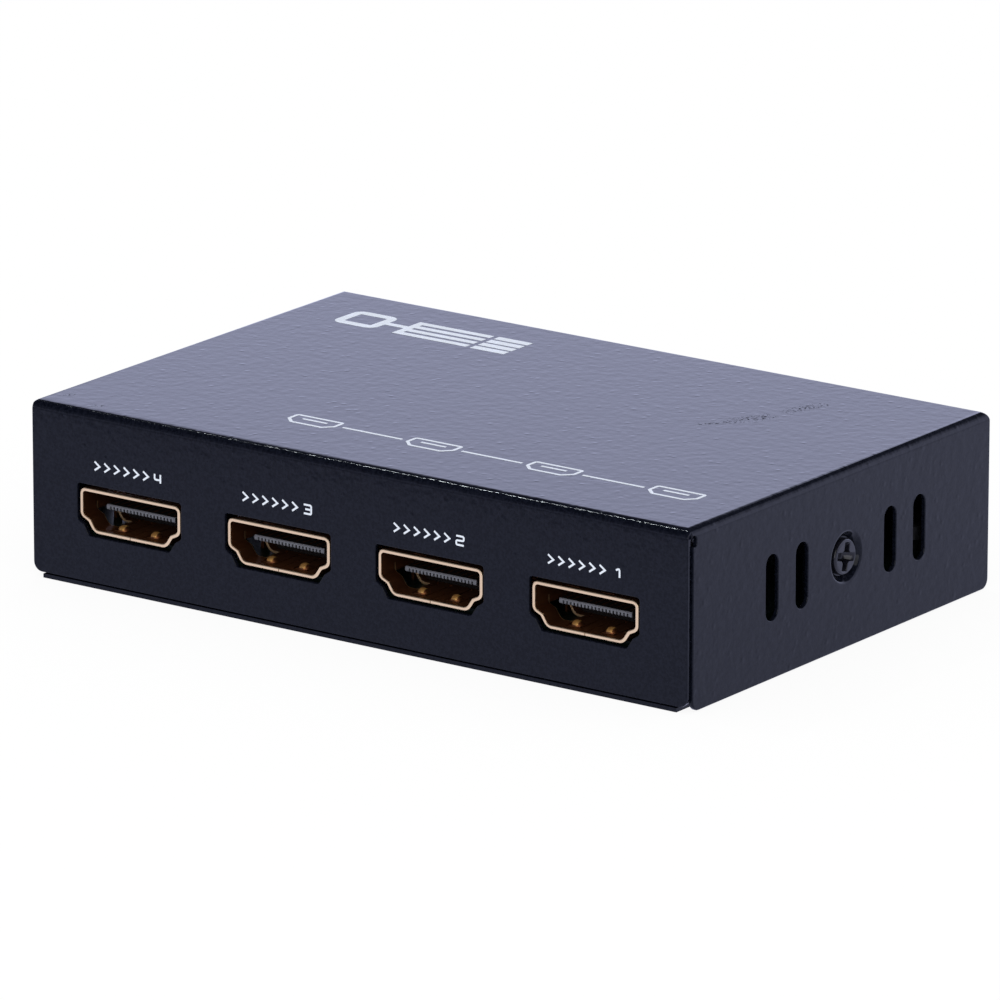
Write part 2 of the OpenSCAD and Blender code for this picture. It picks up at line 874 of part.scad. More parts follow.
module power_jack_pin() {
    free_end = jack_pin_tip + jack_nose;
    tab_h = jack_z - legs_end + jack_pin_r;
    color(steel)
    at_jack() {
        translate([0, jack_pin_tip, 0])
            rotate([-90, 0, 0])
                cylinder(h = jack_nose, r1 = jack_nose, r2 = jack_pin_r);
        translate([0, free_end, 0]) upright(jack_bore_l - free_end) circle(jack_pin_r);
        translate([0, jack_bore_l, 0]) upright(jack_back_t) circle(jack_root_r);
        translate([-jack_pin_r, jack_l, legs_end - jack_z]) cube([2 * jack_pin_r, jack_tab_t, tab_h]);
    }
}

// Leaf that presses on the plug's sleeve, with its leg through the board
module power_jack_spring() {
    crest_z = jack_leaf_rise - jack_bore_r;
    end_z = crest_z - jack_leaf_drop;
    leg_z = legs_end - jack_z;
    color(steel)
    at_jack()
        side_view(jack_leaf_w)
            polygon([
                [jack_leaf_tip, end_z],
                [jack_leaf_crest, crest_z],
                [jack_leaf_back, end_z],
                [jack_leaf_back, leg_z],
                [jack_leaf_back - jack_leaf_t, leg_z],
                [jack_leaf_back - jack_leaf_t, end_z - jack_leaf_t],
                [jack_leaf_crest, crest_z - jack_leaf_t],
                [jack_leaf_tip, end_z - jack_leaf_t]
            ]);
}

// Lamp: tip at y = 0, its axis along +Y

module power_led() {
    color("#b8d8c0")
    at_led() {
        translate([0, led_r, 0]) upright(led_l - led_r) circle(led_r);
        translate([0, led_l - led_flange_t, 0]) upright(led_flange_t) circle(led_r + led_flange_w);
        intersection() {
            translate([0, led_r, 0]) sphere(led_r);
            translate([-led_r, 0, -led_r]) cube([2 * led_r, led_r, 2 * led_r]);
        }
    }
}

module power_led_leads() {
    back = led_l + led_lead_back;
    color(steel)
    at_led()
        for (x = [-1, 1])
            translate([x * led_lead_pitch / 2, 0, 0])
                side_view(led_lead_t)
                    polygon([
                        [led_l, -led_lead_t / 2],
                        [back - led_lead_t, -led_lead_t / 2],
                        [back - led_lead_t, legs_end - led_z],
                        [back, legs_end - led_z],
                        [back, led_lead_t / 2],
                        [led_l, led_lead_t / 2]
                    ]);
}

// Parts soldered on the board

// Moulded body with a dot beside its first lead
module chip_body(size) {
    dot_place = [dot_edge - size.x / 2, dot_edge - size.y / 2, size.z - dot_depth];
    translate([0, 0, chip_lift])
        difference() {
            linear_extrude(size.z) square([size.x, size.y], center = true);
            translate(dot_place) cylinder(h = over, r = dot_r);
        }
}

// Row of gull-wing leads along the +X side of a body
module lead_row(size, count, pitch, width) {
    mid = chip_lift + size.z / 2;
    knee = lead_reach / 3;
    for (i = [0:count - 1])
        translate([size.x / 2, (i - (count - 1) / 2) * pitch, 0])
            rotate([90, 0, 0])
                linear_extrude(width, center = true)
                    polygon([
                        [0, mid],
                        [knee, mid],
                        [knee, 0],
                        [lead_reach, 0],
                        [lead_reach, lead_t],
                        [knee + lead_t, lead_t],
                        [knee + lead_t, mid + lead_t],
                        [0, mid + lead_t]
                    ]);
}

module on_board(x, y) {
    translate([x, y, board_top]) children();
}

module splitter_chip() {
    color(resin) on_board(0, 0) chip_body(splitter_size);
}

module splitter_chip_leads() {
    color(steel)
        on_board(0, 0)
            for (a = [0:90:270])
                rotate(a)
                    lead_row(splitter_size, chip_leads, chip_pitch, chip_pitch / 2);
}

module memory_chip() {
    color(resin) on_board(memory_x, 0) chip_body(memory_size);
}

module memory_chip_leads() {
    color(steel)
        on_board(memory_x, 0)
            for (a = [0, 180])
                rotate(a)
                    lead_row(memory_size, memory_lead_count, memory_pitch, memory_lead_w);
}

module crystal_can() {
    base_t = 0.5;
    rim_step = 0.4;
    color(steel)
        on_board(crystal_x, 0) {
            linear_extrude(base_t) long_round([crystal_size.x, crystal_size.y]);
            linear_extrude(crystal_size.z)
                long_round([crystal_size.x - 2 * rim_step, crystal_size.y - 2 * rim_step]);
        }
}

// Upright strip with round ends
module long_round(size) {
    square([size.x, size.y - size.x], center = true);
    for (y = [-1, 1])
        translate([0, y * (size.y - size.x) / 2])
            circle(size.x / 2);
}

module voltage_regulators() {
    color(resin)
        for (y = regulator_ys)
            on_board(regulator_x, y)
                chip_body(regulator_size);
}

module regulator_leads() {
    turned = [regulator_size.y, regulator_size.x, regulator_size.z];
    color(steel)
        for (y = regulator_ys)
            on_board(regulator_x, y) {
                rotate(-90) lead_row(turned, regulator_lead_count, regulator_pitch, regulator_lead_w);
                rotate(90) lead_row(turned, 1, 0, regulator_tab_w);
            }
}

module filter_capacitors() {
    groove_z = 2;
    groove = 0.35;
    color(steel)
        for (x = can_xs)
            on_board(x, can_y) {
                linear_extrude(can_base_t) square(2 * can_r, center = true);
                rotate_extrude()
                    polygon([
                        [0, 0],
                        [can_r, 0],
                        [can_r, groove_z - groove],
                        [can_r - groove, groove_z],
                        [can_r, groove_z + groove],
                        [can_r, can_h - groove],
                        [can_r - groove, can_h],
                        [0, can_h]
                    ]);
            }
}

module power_inductor() {
    half = inductor_w / 2;
    corners = [[-half, -half], [half, -half], [half, half], [-half, half]];
    color("#3a3a3e")
        on_board(inductor_x, 0)
            linear_extrude(inductor_h)
                polygon(rounded(corners, [for (p = corners) inductor_corner_r]));
}

module surge_arrays() {
    color(resin) {
        for (x = output_xs, s = [-1, 1])
            on_board(x + s * array_size.x, -array_y)
                linear_extrude(array_size.z) square([array_size.x, array_size.y], center = true);
        for (s = [-1, 1])
            on_board(s * array_size.x, array_y)
                linear_extrude(array_size.z) square([array_size.x, array_size.y], center = true);
    }
}

module chip_capacitors() {
    color("#b59a7a")
        for (i = [-1.5:1.5], s = [-1, 1])
            on_board(i * chip_cap_pitch, s * (chip_edge + part_gap))
                linear_extrude(chip_cap_size.z) square([chip_cap_size.x, chip_cap_size.y], center = true);
}

top_cover();
base_tray();
side_screws();
circuit_board();
board_standoffs();
board_screws();
for (i = [1:4]) {
    at_output(i) socket_shell();
    at_output(i) socket_insulator();
    at_output(i) socket_contacts();
}
at_input() socket_shell();  // input_socket_shell
at_input() socket_insulator();  // input_socket_insulator
at_input() socket_contacts();  // input_socket_contacts
power_jack_housing();
power_jack_pin();
power_jack_spring();
power_led();
power_led_leads();
splitter_chip();
splitter_chip_leads();
memory_chip();
memory_chip_leads();
crystal_can();
voltage_regulators();
regulator_leads();
filter_capacitors();
power_inductor();
surge_arrays();
chip_capacitors();
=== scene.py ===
"""Studio picture of a four-way video splitter: its finishes, eased edges and printed marks."""

import math

import bmesh
import bpy
from mathutils import Matrix, Vector


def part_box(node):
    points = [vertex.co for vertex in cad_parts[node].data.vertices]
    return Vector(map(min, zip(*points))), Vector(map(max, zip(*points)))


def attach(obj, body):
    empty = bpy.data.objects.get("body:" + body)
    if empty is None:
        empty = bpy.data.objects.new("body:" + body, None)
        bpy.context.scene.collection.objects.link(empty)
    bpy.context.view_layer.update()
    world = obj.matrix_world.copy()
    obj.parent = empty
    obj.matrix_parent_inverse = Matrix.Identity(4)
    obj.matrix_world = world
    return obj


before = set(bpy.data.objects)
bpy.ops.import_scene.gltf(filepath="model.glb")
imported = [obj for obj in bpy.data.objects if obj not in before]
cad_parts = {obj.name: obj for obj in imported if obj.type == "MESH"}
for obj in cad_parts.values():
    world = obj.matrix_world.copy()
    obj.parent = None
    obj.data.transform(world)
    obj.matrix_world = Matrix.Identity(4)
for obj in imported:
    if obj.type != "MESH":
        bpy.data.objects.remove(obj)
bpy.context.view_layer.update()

MM = 0.001
MICRON = 1e-6
OUTPUTS = (1, 2, 3, 4)
SHELLS = [f"output_socket_shell_{i}" for i in OUTPUTS] + ["input_socket_shell"]

# Camera, in millimetres and degrees, and the farthest that it sees, in metres
CAMERA_PLACE = Vector((676.94, -944.28, 347.26))
CAMERA_AIM = Vector((-2.45, 1.576, 9.336))
CAMERA_ROLL = 0.073
CAMERA_LENS = 365.92
SENSOR = 36.0
FARTHEST = 50

# Linear colours of the finishes
PAINT_DARK = (0.002, 0.0026, 0.0056, 1)
PAINT_LIGHT = (0.005, 0.006, 0.0112, 1)
INK = (0.68, 0.73, 0.82, 1)
GOLD = (0.95, 0.69, 0.39, 1)
# Painted shade: gold inside the socket shells, darkened where little light reaches
PAINTED_SHADE_GOLD = (0.26, 0.1, 0.04, 1)
# Painted highlight: deeper gold on the tops of the contact domes
PAINTED_HIGHLIGHT_GOLD = (1.0, 0.6, 0.2, 1)
TONGUE_TIP = (0.13, 0.135, 0.16, 1)
# Painted shade: the tongue darkened behind its tip, where little light reaches
TONGUE_PAINTED_SHADE = (0.01, 0.009, 0.009, 1)
MASK_DARK = (0.0015, 0.004, 0.003, 1)
MASK_LIGHT = (0.003, 0.009, 0.006, 1)
LAMP = (0.75, 0.92, 0.82, 1)
OXIDE = (0.005, 0.005, 0.008, 1)
RESIN = (0.012, 0.012, 0.013, 1)
BRASS = (0.6, 0.42, 0.18, 1)
STEEL = (0.62, 0.62, 0.64, 1)
DULL_STEEL = (0.1, 0.1, 0.11, 1)
ALUMINIUM = (0.75, 0.75, 0.77, 1)
FERRITE = (0.035, 0.035, 0.038, 1)
CERAMIC = (0.42, 0.3, 0.2, 1)
FLOOR = (0.97, 0.97, 0.975, 1)
WHITE = (1, 1, 1, 1)

# Cool tint of the studio as shiny surfaces see it
COOL = (0.95, 1.0, 1.41, 1)

# Worn places on the top: two ends and the reach beside them, in millimetres
SCUFFS = [
    ((23.2, 6.0), (25.8, 9.8), 1.0),
    ((25.4, 9.4), (27.8, 13.6), 2.4),
    ((28.4, 17.2), (30.2, 21.8), 1.9),
    ((-45.3, -27.4), (-44.8, -26.9), 0.9),
    ((-39.4, -29.2), (-38.8, -28.9), 0.9),
]

# Thickness of the ink, in millimetres
INK_T = 0.02

# Strokes of the plain numbers, in shares of their width and height
NUMERALS = {
    1: [[(0.53, 0.78), (1, 1), (1, 0)]],
    2: [[(0, 1), (1, 1), (1, 0.52), (0, 0.48), (0, 0), (1, 0)]],
    3: [[(0, 1), (1, 1), (1, 0), (0, 0)], [(0.2, 0.5), (0.86, 0.5)]],
    4: [[(0, 1), (0, 0.36), (0.68, 0.36)], [(0.8, 0), (0.8, 1)]],
}


class Nodes:
    """A node tree that is built one node at a time."""

    def __init__(self, tree):
        self.tree = tree
        self.tree.nodes.clear()

    def node(self, kind, inputs=None, **settings):
        """New node: kind is a shader node's short name or another node's full name."""
        made = self.tree.nodes.new(kind if "Node" in kind else "ShaderNode" + kind)
        for name, value in settings.items():
            setattr(made, name, value)
        for socket, value in (inputs or {}).items():
            if isinstance(value, bpy.types.NodeSocket):
                self.tree.links.new(value, made.inputs[socket])
            else:
                made.inputs[socket].default_value = value
        return made

    def place(self, kind="Object"):
        """Position in the part's own frame, in metres, or another kind of place."""
        return self.node("TexCoord").outputs[kind]

    def axis(self, name, vector=None):
        """X, Y or Z of a vector, or else of the position in the part's own frame."""
        return self.node("SeparateXYZ", {"Vector": vector or self.place()}).outputs[name]

    def math(self, operation, first, second=0.0):
        """Operation on one or two numbers."""
        return self.node("Math", {0: first, 1: second}, operation=operation).outputs["Value"]

    def vector(self, operation, first, second=(0, 0, 0), output="Vector"):
        """Operation on one or two vectors."""
        return self.node("VectorMath", {0: first, 1: second}, operation=operation).outputs[output]

    def product(self, first, *others):
        """All the values multiplied."""
        for other in others:
            first = self.math("MULTIPLY", first, other)
        return first

    def greatest(self, first, *others):
        """The greatest of the values."""
        for other in others:
            first = self.math("MAXIMUM", first, other)
        return first

    def below(self, value, limit):
        """1 where a value is under a limit, and 0 elsewhere."""
        return self.math("LESS_THAN", value, limit)

    def above(self, value, limit):
        """1 where a value is over a limit, and 0 elsewhere."""
        return self.math("GREATER_THAN", value, limit)

    def apart(self, value, other):
        """Distance between two values."""
        return self.math("ABSOLUTE", self.math("SUBTRACT", value, other))

    def remap(self, value, low, high, to_low=0.0, to_high=1.0):
        """Value taken smoothly from one range to another."""
        inputs = {"Value": value, "From Min": low, "From Max": high, "To Min": to_low, "To Max": to_high}
        return self.node("MapRange", inputs, interpolation_type="SMOOTHSTEP").outputs["Result"]

    def fade(self, value, near, far, most=1.0):
        """Most while a value is under near, falling to 0 where it reaches far."""
        return self.remap(value, near, far, most, 0.0)

    def noise(self, size, detail=2.0):
        """Noise between 0 and 1 whose lumps are about size millimetres across."""
        inputs = {"Vector": self.place(), "Scale": 1 / (size * MM), "Detail": detail}
        return self.node("TexNoise", inputs).outputs["Fac"]

    def patchy(self, size, low, high, detail=2.0, spread=0.2):
        """Value between low and high in patches about size millimetres across, softer with more spread."""
        middle = 0.5
        return self.remap(self.noise(size, detail), middle - spread, middle + spread, low, high)

    def pimples(self, spacing, size):
        """Scattered round bumps, 0 to 1 high, with their spacing and size in millimetres."""
        cells = self.node("TexVoronoi", {"Vector": self.place(), "Scale": 1 / (spacing * MM)})
        return self.fade(cells.outputs["Distance"], 0.0, size / 2 / spacing)

    def near_line(self, start, end, reach):
        """1 on a line between two places in millimetres, falling to 0 at a reach from it."""
        start, end = Vector(start) * MM, Vector(end) * MM
        along = end - start
        here = self.vector("SUBTRACT", self.place(), start)
        share = self.vector("DOT_PRODUCT", here, along / along.length_squared, output="Value")
        share = self.node("Clamp", {"Value": share}).outputs["Result"]
        nearest = self.node("VectorMath", {0: along, "Scale": share}, operation="SCALE")
        away = self.vector("SUBTRACT", here, nearest.outputs["Vector"])
        return self.fade(self.vector("LENGTH", away, output="Value"), 0.0, reach * MM)

    def mix(self, factor, first, second):
        """Surface between two others."""
        return self.node("MixShader", {0: factor, 1: first, 2: second}).outputs["Shader"]

    def blend(self, factor, first, second):
        """Colour between two others, by the places that colours have among the node's sockets."""
        factor_in, first_in, second_in, colour_out = 0, 6, 7, 2
        inputs = {factor_in: factor, first_in: first, second_in: second}
        return self.node("Mix", inputs, data_type="RGBA").outputs[colour_out]

    def bump(self, height, depth, normal=None):
        """Normal of a surface with a height between 0 and 1, depth micrometres deep."""
        inputs = {"Height": height, "Distance": depth * MICRON, "Strength": 1.0}
        if normal:
            inputs["Normal"] = normal
        return self.node("Bump", inputs).outputs["Normal"]


class Finish(Nodes):
    """Nodes of a new material."""

    def __init__(self, name):
        self.material = bpy.data.materials.new(name)
        self.material.use_nodes = True
        super().__init__(self.material.node_tree)

    def end(self, **inputs):
        """Closes the tree with a principled surface; underscores in the names stand for spaces."""
        named = {key.replace("_", " "): value for key, value in inputs.items()}
        shader = self.node("BsdfPrincipled", named)
        self.node("OutputMaterial", {"Surface": shader.outputs["BSDF"]})
        return self.material


def plain_finish(name, colour, roughness, metallic=0.0, specular=0.5, grain=0.4, depth=3.0):
    """Even colour with uneven roughness and a bumped grain, in millimetres, of a depth in micrometres."""
    patch, smoothest, roughest = 12 * grain, 0.8 * roughness, 1.25 * roughness
    nodes = Finish(name)
    return nodes.end(
        Base_Color=colour,
        Metallic=metallic,
        Specular_IOR_Level=specular,
        Roughness=nodes.patchy(patch, smoothest, roughest, spread=0.25),
        Normal=nodes.bump(nodes.noise(grain, detail=4.0), depth),
    )


def scuffs(nodes):
    """1 in the specks of the worn places on the top, and 0 elsewhere."""
    speck, bare, worn = 0.36, 0.5, 0.62
    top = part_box("top_cover")[1].z / MM
    places = [nodes.near_line((*start, top), (*end, top), reach) for start, end, reach in SCUFFS]
    return nodes.product(nodes.greatest(*places), nodes.remap(nodes.noise(speck), bare, worn))


def paint_finish():
    """Black powder coat: soft orange peel, scattered pimples and a few scuffs on the top."""
    peel, peel_depth = 1.3, 36.0
    pimple_gap, pimple_size, pimple_depth = 1.9, 1.0, 18.0
    grain, grain_depth = 0.5, 5.0
    scuff_roughness = 0.6
    nodes = Finish("powder_coat")
    normal = nodes.bump(nodes.noise(peel, detail=1.5), peel_depth)
    normal = nodes.bump(nodes.pimples(pimple_gap, pimple_size), pimple_depth, normal)
    normal = nodes.bump(nodes.noise(grain), grain_depth, normal)
    tint = nodes.patchy(size=0.35, low=0.0, high=1.0, detail=3.0, spread=0.15)
    gloss = nodes.patchy(size=9.0, low=0.08, high=0.12, detail=3.0)
    return nodes.end(
        Base_Color=nodes.blend(tint, PAINT_DARK, PAINT_LIGHT),
        Specular_IOR_Level=0.17,
        Roughness=nodes.greatest(gloss, nodes.product(scuffs(nodes), scuff_roughness)),
        Normal=normal,
    )


def behind_rim(nodes):
    """Distance behind the plane of the sockets' rims, in metres, at either end of the case."""
    rim = abs(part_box("output_socket_shell_1")[0].y)
    return nodes.math("SUBTRACT", rim, nodes.math("ABSOLUTE", nodes.axis("Y")))


def above_floor(nodes):
    """Height over the floor of the sockets' shells, in metres."""
    sheet = 0.3 * MM
    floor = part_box("circuit_board")[1].z + sheet
    return nodes.math("SUBTRACT", nodes.axis("Z"), floor)


def off_middle(nodes):
    """Distance from the middle of a socket's shell, in metres."""
    middle = 0.5
    low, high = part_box("output_socket_shell_1")
    across = nodes.axis("X", nodes.place("Generated"))
    return nodes.product(nodes.apart(across, middle), high.x - low.x)


def contact_springs(nodes, depth, rise, aside):
    """1 on the springs in the floor of a shell, and 1 on the tops of their domes."""
    spring_line, spring_half, spring_end, spring_top = 2.4 * MM, 0.9 * MM, 2.9 * MM, 1.0 * MM
    dome_near, dome_far = 0.34 * MM, 0.46 * MM
    dome_foot, dome_top = 0.1 * MM, 0.2 * MM
    beside = nodes.apart(aside, spring_line)
    spring = nodes.product(
        nodes.below(depth, spring_end),
        nodes.below(rise, spring_top),
        nodes.below(beside, spring_half),
    )
    dome = nodes.product(
        spring,
        nodes.fade(beside, dome_near, dome_far),
        nodes.remap(rise, dome_foot, dome_top),
    )
    return spring, dome


def facing_mouth(nodes, depth, rise, spring):
    """How far a face low in a socket looks along it, with the springs left out; such faces are painted as
    lit, out of the painted shade.
    """
    slanted, square, most = 0.4, 0.75, 0.9
    mouth_top, window_rear = 4.0 * MM, 6.0 * MM
    normal = nodes.node("NewGeometry").outputs["Normal"]
    along = nodes.math("ABSOLUTE", nodes.axis("Y", normal))
    return nodes.product(
        nodes.remap(along, slanted, square, 0.0, most),
        nodes.math("SUBTRACT", 1.0, spring),
        nodes.below(rise, mouth_top),
        nodes.below(depth, window_rear),
    )


def window_edge_highlight(nodes, depth, rise, aside):
    """Painted highlight along the front edges of a shell's side windows."""
    window_front, window_side, window_top = 2.8 * MM, 3.6 * MM, 2.7 * MM
    edge_near, edge_far, most = 0.08 * MM, 0.2 * MM, 0.7
    return nodes.product(
        nodes.fade(nodes.apart(depth, window_front), edge_near, edge_far, most),
        nodes.above(aside, window_side),
        nodes.below(rise, window_top),
    )


def gold_finish():
    """Gold plating with painted shade inside the shells, but for rims, domes, cut edges and faces towards
    the mouth, and a painted highlight on the domes' tops and the windows' front edges.
    """
    rim_near, rim_far, satin_front = 0.1 * MM, 0.3 * MM, 0.6 * MM
    dark_roughness, satin_roughness = 0.45, 0.6
    nodes = Finish("gold_plating")
    depth, rise, aside = behind_rim(nodes), above_floor(nodes), off_middle(nodes)
    rim = nodes.fade(depth, rim_near, rim_far)
    spring, dome = contact_springs(nodes, depth, rise, aside)
    facing = facing_mouth(nodes, depth, rise, spring)
    edge = window_edge_highlight(nodes, depth, rise, aside)
    # Painted shade: everything but the rim, faces looking towards the mouth and the windows' painted edge
    # highlights gets the dark gold as shade
    bright = nodes.greatest(rim, facing, edge)
    dark = nodes.math("SUBTRACT", 1.0, bright)
    satin = nodes.product(nodes.greatest(dome, facing, edge), nodes.above(depth, satin_front))
    gloss = nodes.patchy(size=3.0, low=0.18, high=0.28)
    dull = nodes.greatest(nodes.product(dark, dark_roughness), nodes.product(satin, satin_roughness))
    return nodes.end(
        # The tops of the domes get a painted highlight of deeper gold
        Base_Color=nodes.blend(dome, nodes.blend(bright, PAINTED_SHADE_GOLD, GOLD), PAINTED_HIGHLIGHT_GOLD),
        Metallic=1.0,
        Roughness=nodes.greatest(gloss, dull),
        Normal=nodes.bump(nodes.noise(size=0.3, detail=3.0), depth=3.0),
    )


def tongue_finish():
    """Grey resin at the tongue's toothed tip, with painted shade that makes it dark behind the tip."""
    tip_near, tip_far = 2.2 * MM, 2.35 * MM
    nodes = Finish("grey_resin")
    tip = nodes.fade(behind_rim(nodes), tip_near, tip_far)
    return nodes.end(
        Base_Color=nodes.blend(tip, TONGUE_PAINTED_SHADE, TONGUE_TIP),
        Specular_IOR_Level=0.2,
        Roughness=nodes.patchy(size=2.4, low=0.35, high=0.5, spread=0.25),
        Normal=nodes.bump(nodes.noise(size=0.2, detail=4.0), depth=3.0),
    )


def board_finish():
    """Dark green solder mask over a faint pattern of tracks."""
    pattern_scale, track_width = 160.0, 0.03
    nodes = Finish("solder_mask")
    inputs = {"Vector": nodes.place(), "Scale": pattern_scale, "Mortar Size": track_width}
    height = nodes.remap(nodes.node("TexBrick", inputs).outputs["Fac"], 0.0, 1.0)
    return nodes.end(
        Base_Color=nodes.blend(height, MASK_DARK, MASK_LIGHT),
        Specular_IOR_Level=0.1,
        Roughness=nodes.patchy(size=6.0, low=0.3, high=0.45),
        Normal=nodes.bump(height, depth=20.0),
    )


def lamp_finish():
    """Clear, faintly green resin."""
    nodes = Finish("lamp_resin")
    return nodes.end(
        Base_Color=LAMP,
        Roughness=nodes.patchy(size=1.5, low=0.08, high=0.16),
        Transmission_Weight=0.85,
        IOR=1.52,
        Normal=nodes.bump(nodes.noise(size=0.5), depth=2.0),
    )


def finishes():
    """A finish for each of the record's material slots."""
    return {
        "case_paint": paint_finish(),
        "screw_black": plain_finish("black_oxide", OXIDE, roughness=0.15, specular=0.4, grain=0.3),
        "socket_gold": gold_finish(),
        "resin_black": plain_finish("black_resin", RESIN, roughness=0.45, grain=0.25, depth=5),
        "tongue_grey": tongue_finish(),
        "board_green": board_finish(),
        "brass_plain": plain_finish("turned_brass", BRASS, roughness=0.3, metallic=1.0),
        "steel_bright": plain_finish("plated_steel", STEEL, roughness=0.28, metallic=1.0),
        "lamp_clear": lamp_finish(),
        "can_aluminium": plain_finish("satin_aluminium", ALUMINIUM, roughness=0.35, metallic=1.0),
        "ferrite": plain_finish("pressed_ferrite", FERRITE, roughness=0.6, grain=0.3, depth=12),
        "ceramic_tan": plain_finish("fired_ceramic", CERAMIC, roughness=0.5),
    }


def dress_nodes():
    """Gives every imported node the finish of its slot, and the board screws a duller plating."""
    made = finishes()
    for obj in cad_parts.values():
        for slot in obj.material_slots:
            slot.material = made.get(slot.material.name, slot.material)
    dull = plain_finish("dull_plating", DULL_STEEL, roughness=0.5, metallic=1.0)
    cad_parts["board_screws"].material_slots[0].material = dull


def ease_edges(node, width, sharp=32, marked=None):
    """Rounds a node's edges, width in millimetres: those that turn by sharp degrees, or those marked."""
    weld_gap, flat_turn = 2 * MICRON, 0.5
    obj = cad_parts[node]
    weld = obj.modifiers.new("weld", "WELD")
    weld.merge_threshold = weld_gap
    flat = obj.modifiers.new("flat", "DECIMATE")
    flat.decimate_type = "DISSOLVE"
    flat.angle_limit = math.radians(flat_turn)
    if marked:
        obj.modifiers.new("marked", "NODES").node_group = marked
    bevel = obj.modifiers.new("bevel", "BEVEL")
    bevel.width = width * MM
    bevel.segments = 2
    bevel.limit_method = "WEIGHT" if marked else "ANGLE"
    bevel.angle_limit = math.radians(sharp)
    bevel.use_clamp_overlap = False
    bevel.loop_slide = False
    normals = obj.modifiers.new("normals", "WEIGHTED_NORMAL")
    normals.mode = "FACE_AREA"
    normals.weight = 100
    normals.keep_sharp = marked is not None


def store_on_edges(nodes, geometry, name, kind, value):
    """Geometry whose edges hold a value under a name."""
    inputs = {"Geometry": geometry, "Name": name, "Value": value}
    store = nodes.node("GeometryNodeStoreNamedAttribute", inputs, domain="EDGE", data_type=kind)
    return store.outputs["Geometry"]


def rim_marks(shell):
    """Geometry nodes that mark a shell's edges: its rim, but for the seam, for the full round, its
    square edges for a finer one, and its other corners as sharp."""
    slack, seam_reach, finer = 0.02 * MM, 0.1 * MM, 0.3
    square, corner = math.radians(85), math.radians(35)
    low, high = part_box(shell)
    middle, rim = (low + high) / 2, max(abs(low.y), abs(high.y))
    group = bpy.data.node_groups.new("rim_of_" + shell, "GeometryNodeTree")
    for way in ("INPUT", "OUTPUT"):
        group.interface.new_socket("Geometry", in_out=way, socket_type="NodeSocketGeometry")
    nodes = Nodes(group)
    position = nodes.node("GeometryNodeInputPosition").outputs["Position"]
    turn = nodes.node("GeometryNodeInputMeshEdgeAngle").outputs["Unsigned Angle"]
    outermost = nodes.above(nodes.math("ABSOLUTE", nodes.axis("Y", position)), rim - slack)
    aside = nodes.above(nodes.apart(nodes.axis("X", position), middle.x), seam_reach)
    off_seam = nodes.greatest(aside, nodes.above(nodes.axis("Z", position), middle.z))
    fine = nodes.product(nodes.above(turn, square), finer)
    rounded = nodes.greatest(nodes.product(outermost, off_seam), fine)
    sharp = nodes.math("SUBTRACT", nodes.above(turn, corner), nodes.math("CEIL", rounded))
    geometry = nodes.node("NodeGroupInput").outputs["Geometry"]
    geometry = store_on_edges(nodes, geometry, "bevel_weight_edge", "FLOAT", rounded)
    geometry = store_on_edges(nodes, geometry, "sharp_edge", "BOOLEAN", sharp)
    nodes.node("NodeGroupOutput", {"Geometry": geometry})
    return group


def new_object(name, data):
    """Object of the scene that holds a mesh, a light or a camera."""
    obj = bpy.data.objects.new(name, data)
    bpy.context.scene.collection.objects.link(obj)
    return obj


# Printed marks: paths in millimetres, drawn to the right and upwards

class Marks:
    """Thin strokes that become one piece of ink."""

    def __init__(self):
        self.mesh = bmesh.new()

    def section(self, right, left):
        """Corners across a stroke, from the lower right one round to the upper right one."""
        corners = ((right, 0), (left, 0), (left, INK_T), (right, INK_T))
        return [self.mesh.verts.new((*point, height)) for point, height in corners]

    def stroke(self, points, width, closed=False):
        """Closed solid of a width along a path, as thick as the ink."""
        sides = zip(edge_points(points, -width / 2, closed), edge_points(points, width / 2, closed))
        sections = [self.section(right, left) for right, left in sides]
        following = sections[1:]
        if closed:
            following.append(sections[0])
        else:
            self.mesh.faces.new(sections[0][::-1])
            self.mesh.faces.new(sections[-1])
        for near, far in zip(sections, following):
            for k in range(len(near)):
                self.mesh.faces.new((near[k - 1], near[k], far[k], far[k - 1]))

    def piece(self, name, placing, material):
        """Puts the plane of the marks where placing says, and makes them ride on the part."""
        self.mesh.transform(placing @ Matrix.Scale(MM, 4))
        data = bpy.data.meshes.new(name)
        self.mesh.to_mesh(data)
        self.mesh.free()
        data.materials.append(material)
        obj = new_object(name, data)
        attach(obj, "root")


def edge_points(points, offset, closed):
    """Points at an offset to the left of a path, mitred at its corners."""
    path = [Vector(p) for p in points]
    moved = []
    for i, point in enumerate(path):
        legs = []
        if closed or i > 0:
            legs.append(point - path[i - 1])
        if closed or i < len(path) - 1:
            legs.append(path[(i + 1) % len(path)] - point)
        normals = [Vector((-leg.y, leg.x)).normalized() for leg in legs]
        mitre = sum(normals, Vector((0, 0)))
        moved.append(point + mitre * offset * len(normals) / mitre.length_squared)
    return moved


def eased(points, radius, closed=False, steps=5):
    """Path with its corners rounded."""
    path = [Vector(p) for p in points]
    count = len(path)
    result = []
    for i, corner in enumerate(path):
        if not closed and i in (0, count - 1):
            result.append(corner)
            continue
        back = path[i - 1] - corner
        ahead = path[(i + 1) % count] - corner
        half = back.angle(ahead) / 2
        reach = min(radius / math.tan(half), back.length / 2, ahead.length / 2)
        start, end = corner + back.normalized() * reach, corner + ahead.normalized() * reach
        for k in range(steps + 1):
            t = k / steps
            result.append(start * (1 - t) ** 2 + corner * 2 * t * (1 - t) + end * t ** 2)
    return result


